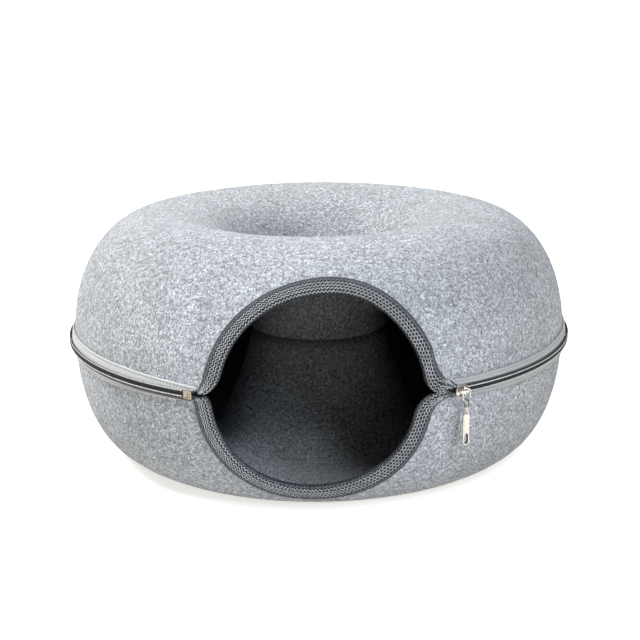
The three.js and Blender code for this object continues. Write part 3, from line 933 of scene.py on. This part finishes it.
def makeTape(half):
    ends = tapeEnds[half]
    tape = flatSlab(f"{half}Tape", zipper["columns"], zipper["rows"])
    flat = meshPoints(tape)
    inner = zipper["tapeInner"]
    straight = ends["right"] + (circumference + ends["left"] - ends["right"]) * flat[:, 0]
    outer = tapeEdgeRise(half, straight)
    rise = inner + (outer - inner) * flat[:, 1]
    share = (rise - inner) / (zipper["tapeOuter"] - inner)
    right = ends["right"] + ends["rightSlant"] * share
    left = circumference + ends["left"] + ends["leftSlant"] * share
    along = right + (left - right) * flat[:, 0]
    top = np.full_like(rise, zipper["tapeSeat"] + zipper["tapeThickness"])
    for form in (zipper["bead"], zipper["trough"]):
        top += form["height"] * bulge(outer - form["inset"] - rise, form["width"])
    level = np.where(flat[:, 2] > -0.5, top, zipper["tapeSeat"])
    writeFlatMap(tape, along, rise)
    setPoints(tape, feltPoints(along, halves[half] * rise, level))
    pointOut(tape)
    smooth(tape, 60)
    return tape


def makeCoil(half):
    # Each turn of the coil is a tooth. The two halves are half a turn apart, so the teeth mesh.
    turnCount = int((circumference + zipper["coilTo"] - zipper["coilFrom"]) / zipper["coilPitch"])
    turns = np.arange(turnCount * 8 + 1) / 8
    angle = 2 * math.pi * turns
    along = zipper["coilFrom"] + zipper["coilPitch"] * (turns + zipper["coilStart"][half])
    rise = zipper["coilOffset"] - zipper["coilReach"] * np.cos(angle)
    level = zipper["coilLevel"] + zipper["coilRise"] * np.sin(angle)
    wire = feltPoints(along, halves[half] * rise, level)
    return threadMesh(f"{half}Coil", [wire], zipper["wireRadius"])


def stitchRound(half, name, stitch, riseAt):
    # A row of stitches round the zip, where riseAt gives the rise at a place along it
    count = int((circumference + stitch["to"] - stitch["from"]) / stitch["pitch"])
    starts = stitch["from"] + stitch["pitch"] * np.arange(count)
    rows = []
    for along in (starts, starts + stitch["length"]):
        rows.append(np.column_stack([along, halves[half] * riseAt(along)]))
    return stitchRows(f"{half}{name}", *rows, stitch)


def makeCoilThreads(half):
    # The threads wander a little from the right end to the left end
    def riseAt(along):
        return np.interp(along, zipper["drift"], coilThread["rise"][half])
    return stitchRound(half, "CoilThread", coilThread, riseAt)


def makeTapeStitches(half):
    def riseAt(along):
        return tapeEdgeRise(half, along) - zipper["trough"]["inset"]
    return stitchRound(half, "TapeStitch", tapeStitch, riseAt)


def tapeMaterial(half):
    material, tree, shader = newMaterial(f"{half}ZipTape", tapeLook["finish"])
    place = flatPlace(tree)
    along, up = splitVector(tree, place)
    weave = placeGroup(tree, threadWeave, place, tapeLook["threadWidth"])
    colour = mixColour(tree, weave["Height"], tapeLook["dark"], tapeLook["light"])
    # Painted light: the tape is lighter towards its left end, where the key light falls
    shade = mapRange(tree, along, *zipper["drift"], *tapeLook["paintedShades"])
    colour = vectorNode(tree, "SCALE", colour, shade)
    # Painted shadow: a dark strip beside the coil, as the coil's shadow on the tape
    stripWidth = mapRange(tree, along, *zipper["drift"], *tapeLook["stripWidths"][half])
    beyond = mathNode(tree, "SUBTRACT", up, stripWidth)
    fade = tapeLook["stripFade"]
    pastShadowStrip = mapRange(tree, beyond, -fade, fade, kind="SMOOTHSTEP")
    colour = mixColour(tree, pastShadowStrip, tapeLook["strip"], colour)
    tree.links.new(colour, shader.inputs["Base Color"])
    bumpInto(tree, shader, weave["Height"], tapeLook["bump"])
    return material


coilPlastic = grainMaterial("zipCoil", coilLook["light"], coilLook["dark"], coilLook)


def makeZip(half):
    tape = makeTape(half)
    coil = makeCoil(half)
    coilThreads = makeCoilThreads(half)
    tapeStitches = makeTapeStitches(half)
    finishPiece(tape, [f"{half}_zip_tape"], [tapeMaterial(half)])
    finishPiece(coil, [f"{half}_zip_coil"], [coilPlastic])
    finishPiece(coilThreads, [], [threads["lightThread"]])
    finishPiece(tapeStitches, [], [threads["tapeThread"]])


for half in halves:
    makeZip(half)
print("zip sewn round")

# Tack stitches that hold the braid's ends beside the zip, each from one (along, rise) to another. The
# black tacks are partly dark thread and partly painted shadow in the gaps at the braid's ends.
tacks = {
    "blackShade": (
        ((0.1040, 0.0098), (0.1068, 0.0066)), ((0.1068, 0.0090), (0.1090, 0.0058)),
        ((0.1095, 0.0080), (0.1118, 0.0046)), ((0.1122, 0.0068), (0.1142, 0.0036)),
        ((0.1146, 0.0052), (0.1170, 0.0022)), ((0.1100, 0.0022), (0.1165, 0.0014)),
        ((0.1060, -0.0052), (0.1090, -0.0032)), ((0.1090, -0.0054), (0.1120, -0.0030)),
        ((0.1120, -0.0048), (0.1152, -0.0024)), ((0.1105, -0.0016), (0.1168, -0.0012)),
        ((-0.1075, 0.0046), (-0.1052, 0.0018)), ((-0.1092, -0.0018), (-0.1064, -0.0044)),
    ),
    "light": (
        ((0.1030, 0.0116), (0.1125, 0.0048)), ((0.1058, 0.0116), (0.1145, 0.0050)),
        ((0.1086, 0.0110), (0.1160, 0.0052)), ((-0.1098, -0.0052), (-0.1090, -0.0104)),
        ((-0.1078, 0.0062), (-0.1060, 0.0112)),
    ),
    "width": {"blackShade": 0.0012, "light": 0.0007},
    "level": 0.0026,
}


def makeTacks(tone):
    starts, ends = np.array(tacks[tone]).transpose(1, 0, 2)
    width = tacks["width"][tone]
    tack = {"level": tacks["level"], "width": width, "thickness": width}
    stitches = stitchRows(f"{tone}Tacks", starts, ends, tack)
    finishPiece(stitches, [], [threads[f"{tone}Thread"]])


makeTacks("blackShade")
makeTacks("light")
print("braid ends tacked")

# The slider, pull and stop are made in millimetres on a stand on the zip line: x runs along the
# zip away from the entrance, y is up and z stands off the felt
slider = {
    "along": 0.1228,
    "halfLength": 6.5,
    "halfWidth": 4.9,
    "corner": 3.9,
    "plateLevels": (4.2, 5.8),
    "rimWidth": 0.9,
    "hollow": 0.55,
    "flange": ((-4.0, 3.6, 2.1), (4.0, 4.6, 4.4)),
    "flangeCorner": 0.45,
    "post": ((-1.2, -0.45, -0.3), (0.2, 0.45, 4.4)),
    "backPlate": ((-1.2, -2.6, -1.35), (6.0, 2.6, -0.15)),
    "bridge": ((-3.9, -1.1, 5.4), (3.95, 1.1, 9.0)),
    "underBridge": ((-2.7, -2.0, 5.0), (2.75, 2.0, 7.8)),
    "bridgeCorner": 1.25,
    "edgeRound": 0.28,
}
pull = {
    "x": 3.35,
    "z": 6.7,
    "barLevel": -18.0,
    "halfThickness": 0.7,
    "bar": ((-3.2, -30.9), (3.2, -3.6)),
    "barTip": 3.15,
    "shoulder": 0.5,
    "lug": ((-2.1, -3.9), (2.1, 0.0)),
    "lugCorner": 1.8,
    "eyeRadius": 1.2,
    "eyeLevel": -2.2,
    "slot": ((-2.1, -29.8), (2.1, -20.2)),
    "slotNarrowing": 0.75,
    "slotSlack": 0.01,
    "edgeRound": 0.22,
}
loops = {
    "pullRing": {
        "node": "pull_ring", "metal": "nickel",
        "width": 8.6, "height": 12.7, "wire": 1.2, "level": -3.4, "turn": 0,
    },
    # Painted shade: the upper link takes a darker copy of the nickel
    "pullLinkUpper": {
        "node": "pull_link_upper", "metal": "shadedNickel",
        "width": 4.8, "height": 8.2, "wire": 1.0, "level": -11.0, "turn": -56,
    },
    "pullLinkLower": {
        "node": "pull_link_lower", "metal": "nickel",
        "width": 4.8, "height": 8.2, "wire": 1.0, "level": -16.55, "turn": 74,
    },
}
bottomStop = {
    "along": -0.1121,
    "block": ((-4.0, -3.7, 1.9), (4.0, 3.7, 4.1)),
    "corner": 1.2,
    "rimWidth": 1.3,
    "hollow": 0.5,
    "edgeRound": 0.35,
}
metalLook = {
    "scale": 700.0,
    "detail": 4.0,
    "harshness": 0.65,
    "contrast": (0.35, 0.6),
    "bump": 0.00005,
    "finish": {"Metallic": 1.0},
}
# Each metal's bright and dull colour, and its roughness where it is dull and where it is bright
metalTones = {
    "nickel": ((0.74, 0.70, 0.64), (0.34, 0.32, 0.29), (0.32, 0.14)),
    "satinNickel": ((0.74, 0.675, 0.61), (0.50, 0.44, 0.385), (0.52, 0.34)),
    # Painted shade: a darker copy of the nickel, for the upper pull link
    "shadedNickel": ((0.13, 0.125, 0.12), (0.02, 0.0195, 0.019), (0.30, 0.12)),
    "brass": ((0.50, 0.435, 0.335), (0.10, 0.088, 0.068), (0.50, 0.28)),
}
# Painted shadow: black for the pull bar's sloped slot wall, as a dark outline round the slot
slotShadowLook = {
    **threadLook,
    "light": (0.02, 0.02, 0.022),
    "dark": (0.008, 0.008, 0.009),
    "scale": 700.0,
    "bump": 0.00002,
    "finish": {"Roughness": 0.3, "Specular IOR Level": 0.3},
}
metals = {
    name: grainMaterial(name, bright, dull, {**metalLook, "roughness": roughness})
    for name, (bright, dull, roughness) in metalTones.items()
}
slotShadowBlack = grainMaterial("slotShadowBlack", slotShadowLook["light"], slotShadowLook["dark"], slotShadowLook)


def newBlock(name, low, high):
    deselectAll()
    low, high = np.array(low), np.array(high)
    bpy.ops.mesh.primitive_cube_add(size=1, location=(low + high) / 2, scale=high - low)
    bpy.ops.object.transform_apply(location=True, rotation=False, scale=True)
    return nameNew(name)


def newPlate(name, outline, half):
    # A block from the outline's low corner to its high one, which reaches half to each side in z
    low, high = outline
    return newBlock(name, (*low, -half), (*high, half))


def bevelEdges(piece, offset, segments, wanted):
    pickNothing(piece, "EDGE")
    points = meshPoints(piece)
    for edge in piece.data.edges:
        first, last = (points[index] for index in edge.vertices)
        edge.select = bool(wanted((first + last) / 2, np.abs(last - first)))
    editPicked(piece, (bpy.ops.mesh.bevel, {"offset": offset, "segments": segments, "affect": "EDGES"}))


def bevelUprights(piece, offset, segments, wanted=lambda middle: True):
    # Rounds the edges that run along z
    bevelEdges(piece, offset, segments, lambda middle, run: max(run[:2]) < 1e-4 and wanted(middle))


def hollowTop(piece, rimWidth, depth):
    pickNothing(piece, "FACE")
    top = meshPoints(piece)[:, 2].max()
    for polygon in piece.data.polygons:
        polygon.select = polygon.normal.z > 0.99 and bool(abs(polygon.center.z - top) < 1e-4)
    editPicked(
        piece,
        (bpy.ops.mesh.inset, {"thickness": rimWidth, "depth": 0}),
        (bpy.ops.transform.translate, {"value": (0, 0, -depth)}),
    )


def combine(piece, other, operation):
    # Joins another piece on, or cuts it away, and removes it
    activate(piece)
    boolean = piece.modifiers.new("combine", "BOOLEAN")
    boolean.operation = operation
    boolean.solver = "EXACT"
    boolean.object = other
    bpy.ops.object.modifier_apply(modifier=boolean.name)
    bpy.data.objects.remove(other)


def roundEdges(piece, width):
    activate(piece)
    bevel = piece.modifiers.new("rounding", "BEVEL")
    bevel.width = width
    bevel.segments = 3
    bevel.limit_method = "ANGLE"
    bevel.angle_limit = math.radians(40)
    bpy.ops.object.modifier_apply(modifier=bevel.name)


def standOnZip(piece, along, place=(0, 0, 0), turn=0):
    azimuth = along / ring["feltRadius"]
    foot = feltPoints([along], [0.0], [0.0])[0]
    stand = Matrix((
        (math.cos(azimuth), 0, math.sin(azimuth), foot[0]),
        (math.sin(azimuth), 0, -math.cos(azimuth), foot[1]),
        (0, 1, 0, foot[2]),
        (0, 0, 0, 1),
    ))
    turned = Matrix.Rotation(math.radians(turn), 4, "Y")
    piece.data.transform(stand @ Matrix.Scale(0.001, 4) @ Matrix.Translation(place) @ turned)
    smooth(piece, 35)


def makeSlider():
    half, wide, (low, high) = slider["halfLength"], slider["halfWidth"], slider["plateLevels"]
    body = newBlock("zipSlider", (-half, -wide, low), (half, wide, high))
    bevelUprights(body, slider["corner"], 10)
    hollowTop(body, slider["rimWidth"], slider["hollow"])
    roundEdges(body, slider["edgeRound"])
    (left, near, under), (right, far, over) = slider["flange"]
    for first, last in ((near, far), (-far, -near)):
        flange = newBlock("flange", (left, first, under), (right, last, over))
        bevelUprights(flange, slider["flangeCorner"], 3)
        combine(body, flange, "UNION")
    for name in ("post", "backPlate"):
        combine(body, newBlock(name, *slider[name]), "UNION")
    bridge = newBlock("bridge", *slider["bridge"])
    combine(bridge, newBlock("underBridge", *slider["underBridge"]), "DIFFERENCE")
    top = slider["bridge"][1][2]
    bevelEdges(
        bridge, slider["bridgeCorner"], 6, lambda middle, run: abs(middle[2] - top) < 1e-3 and run[1] > 1
    )
    roundEdges(bridge, slider["edgeRound"])
    combine(body, bridge, "UNION")
    standOnZip(body, slider["along"])
    finishPiece(body, ["zip_slider"], [metals["nickel"]])


def makeLoop(name, loop):
    deselectAll()
    bpy.ops.mesh.primitive_torus_add(
        major_radius=(loop["width"] - loop["wire"]) / 2,
        minor_radius=loop["wire"] / 2,
        major_segments=48,
        minor_segments=14,
    )
    piece = nameNew(name)
    stretch = (loop["height"] - loop["width"]) / 2
    for side in (1, -1):
        pickNothing(piece, "VERT")
        piece.data.vertices.foreach_set("select", meshPoints(piece)[:, 1] * side > 1e-4)
        editPicked(piece, (bpy.ops.transform.translate, {"value": (0, side * stretch, 0)}))
    standOnZip(piece, slider["along"], (pull["x"], loop["level"], pull["z"]), loop["turn"])
    finishPiece(piece, [loop["node"]], [metals[loop["metal"]]])


def makePullBar():
    half = pull["halfThickness"]
    (_, foot), (_, top) = pull["bar"]
    bar = newPlate("pullBar", pull["bar"], half)
    bevelUprights(bar, pull["barTip"], 12, lambda middle: middle[1] < foot + 1)
    bevelUprights(bar, pull["shoulder"], 3, lambda middle: middle[1] > top - 1)
    lug = newPlate("lug", pull["lug"], half)
    bevelUprights(lug, pull["lugCorner"], 8, lambda middle: middle[1] > pull["lug"][1][1] - 1)
    combine(bar, lug, "UNION")
    deselectAll()
    bpy.ops.mesh.primitive_cylinder_add(
        vertices=32, radius=pull["eyeRadius"], depth=4, location=(0, pull["eyeLevel"], 0)
    )
    combine(bar, bpy.context.active_object, "DIFFERENCE")
    low, high = np.array(pull["slot"])
    slack = pull["slotSlack"]
    slot = newPlate("slot", pull["slot"], half + slack)
    bevelUprights(slot, high[0] - 2 * slack, 10)
    # The slot is smaller at the rear, so its wall slopes
    points = meshPoints(slot)
    rear = points[:, 2] < 0
    centre = (low + high) / 2
    shrink = 1 - 2 * pull["slotNarrowing"] / (high - low)
    points[rear, :2] = centre + (points[rear, :2] - centre) * shrink
    setPoints(slot, points)
    combine(bar, slot, "DIFFERENCE")
    # The slot's sloped wall takes the black: painted shadow round the slot
    for polygon in bar.data.polygons:
        place = np.array(polygon.center[:2])
        inSlot = all(place > low - slack) and all(place < high + slack)
        polygon.material_index = int(inSlot and abs(polygon.normal.z) < 0.9)
    roundEdges(bar, pull["edgeRound"])
    standOnZip(bar, slider["along"], (pull["x"], pull["barLevel"], pull["z"]))
    finishPiece(bar, ["pull_bar"], [metals["satinNickel"], slotShadowBlack])


def makeStop():
    block = newBlock("bottomStop", *bottomStop["block"])
    bevelUprights(block, bottomStop["corner"], 4)
    hollowTop(block, bottomStop["rimWidth"], bottomStop["hollow"])
    roundEdges(block, bottomStop["edgeRound"])
    standOnZip(block, bottomStop["along"])
    finishPiece(block, ["bottom_stop"], [metals["brass"]])


makeSlider()
for loopName, loop in loops.items():
    makeLoop(loopName, loop)
makePullBar()
makeStop()
print("slider, pull and stop made")

# Floor, light and camera
floorLook = {
    "size": 60,
    "glowNear": (0.66, 0.645, 0.615),
    "glowFar": (1.0, 1.0, 1.0),
    "glowReach": (0.5, 2.0),
    "finish": {
        "Base Color": (0.55, 0.54, 0.52), "Roughness": 0.9, "Specular IOR Level": 0.1,
        "Emission Strength": 1.0,
    },
}
sky = {
    "light": {"Color": (0.93, 0.96, 1.0), "Strength": 0.39},
    "backdrop": {"Color": (1.0, 1.0, 1.0), "Strength": 1.05},
}
lights = {
    "keyLight": {"place": (-1.3, 0.3, 1.6), "size": 0.9, "power": 70.0, "colour": (1.0, 1.0, 0.99)},
    "frontLight": {"place": (0.7, -1.4, 1.9), "size": 0.7, "power": 33.0, "colour": (0.93, 0.965, 1.0)},
    "lowLight": {"place": (1.0, -1.45, 1.2), "size": 0.6, "power": 13.0, "colour": (0.84, 0.91, 1.0)},
    "backLight": {"place": (0.4, 1.6, 1.6), "size": 1.2, "power": 29.0, "colour": (1.0, 1.0, 1.0)},
}
lightsTarget = (0, -0.05, 0.12)
entranceSpot = {
    "place": (1.2, -1.42, 0.86),
    "target": (-0.09, -0.17, 0.05),
    "coneDegrees": 8.5,
    "softness": 0.12,
    "power": 150.0,
    "colour": (0.68, 0.76, 1.0),
}
camera = {
    "focalLength": 65.82,
    "sensorWidth": 36,
    "distance": 1.2008,
    "elevation": 15.44,
    "target": (0.00155, -0.0092, 0.1157),
    "roll": -0.60,
}


def addFloor():
    # The floor shines a little, and more far from the object, so that shadows are faint and it
    # runs into the white backdrop
    deselectAll()
    bpy.ops.mesh.primitive_plane_add(size=floorLook["size"], location=(0, 0, 0))
    floor = nameNew("floor")
    material, tree, shader = newMaterial("paleFloor", floorLook["finish"])
    distance = addNode(tree, "VectorMath", {0: objectPlace(tree)}, operation="LENGTH")
    reach = floorLook["glowReach"]
    glow = mapRange(tree, distance.outputs["Value"], *reach, kind="SMOOTHSTEP")
    shine = mixColour(tree, glow, floorLook["glowNear"], floorLook["glowFar"])
    tree.links.new(shine, shader.inputs["Emission Color"])
    floor.data.materials.append(material)


def addSky():
    # The backdrop that the camera sees is white, and the light that it gives is faint
    world = bpy.data.worlds.new("studio")
    bpy.context.scene.world = world
    world.use_nodes = True
    tree = world.node_tree
    tree.nodes.clear()
    seen = addNode(tree, "LightPath", {}).outputs["Is Camera Ray"]
    light, backdrop = (addNode(tree, "Background", sky[part]).outputs[0] for part in sky)
    either = addNode(tree, "MixShader", {0: seen, 1: light, 2: backdrop})
    addNode(tree, "OutputWorld", {0: either.outputs[0]})


def addLight(name, kind, look, target):
    lamp = bpy.data.lights.new(name, kind)
    lamp.energy = look["power"]
    lamp.color = look["colour"]
    light = addObject(name, lamp)
    light.location = look["place"]
    light.rotation_euler = (Vector(target) - light.location).to_track_quat("-Z", "Y").to_euler()
    return lamp


def addLights():
    for name, look in lights.items():
        lamp = addLight(name, "AREA", look, lightsTarget)
        lamp.shape = "DISK"
        lamp.size = look["size"]
    # A soft, faint spot of light that falls through the entrance onto the tunnel's floor
    spot = addLight("entranceSpot", "SPOT", entranceSpot, entranceSpot["target"])
    spot.spot_size = math.radians(entranceSpot["coneDegrees"])
    spot.spot_blend = 1.0
    spot.shadow_soft_size = entranceSpot["softness"]


def addCamera():
    lens = bpy.data.cameras.new("camera")
    lens.lens = camera["focalLength"]
    lens.sensor_width = camera["sensorWidth"]
    lens.clip_start = 0.01
    view = addObject("camera", lens)
    tilt = math.radians(camera["elevation"])
    target = Vector(camera["target"])
    outward = Vector((0, -math.cos(tilt), math.sin(tilt)))
    looking = (-outward).to_track_quat("-Z", "Y").to_matrix().to_4x4()
    roll = Matrix.Rotation(math.radians(camera["roll"]), 4, "Z")
    view.matrix_world = Matrix.Translation(target + camera["distance"] * outward) @ looking @ roll
    bpy.context.scene.camera = view


addFloor()
addSky()
addLights()
addCamera()
bpy.context.scene.view_settings.view_transform = "Standard"
print("stage, lights and camera placed")
